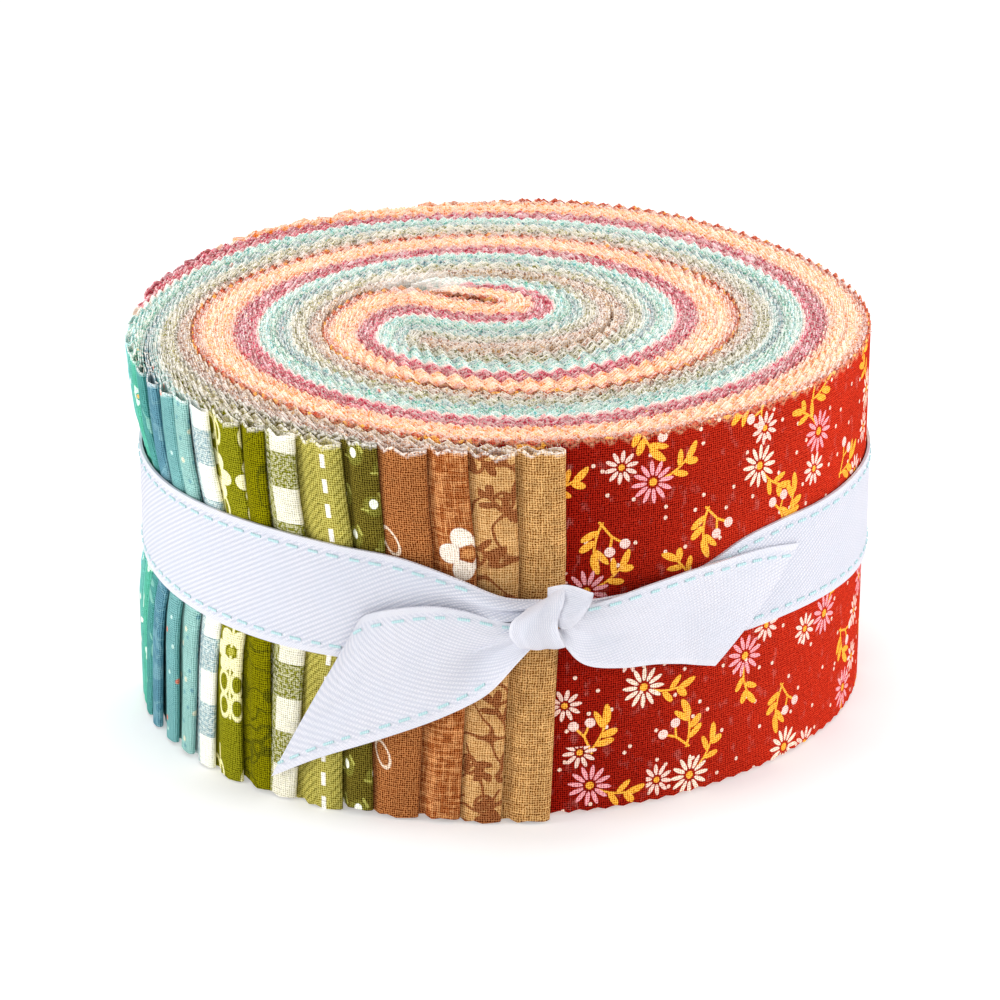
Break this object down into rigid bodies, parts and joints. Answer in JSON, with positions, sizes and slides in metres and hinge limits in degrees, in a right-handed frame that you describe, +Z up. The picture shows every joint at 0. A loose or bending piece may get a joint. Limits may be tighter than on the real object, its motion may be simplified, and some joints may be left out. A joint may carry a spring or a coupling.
{
  "type": "tied roll of quilting fabric strips",
  "caption": "Flat round roll of long folded cotton strips wound in a spiral, with stepped folds round the side, tied round the middle with a white woven tape in a plain knot.",
  "frame": {"origin": "middle of the roll, on the flat lower face that it rests on", "axes": "+Z up along the roll's axis, -Y towards the knot at the front, +X to the right as seen from the front"},
  "size_m": [0.125, 0.1345, 0.0635],
  "materials": {
    "print_cotton": "matt plain-weave quilting cotton with pinked edges, in red, orange, crimson, aqua, green and tan prints",
    "white_tape": "soft white herringbone tape with a pale teal running stitch near each edge"
  },
  "bodies": {
    "root": {"strip_roll": "print_cotton", "ribbon": "white_tape"}
  },
  "joints": []
}
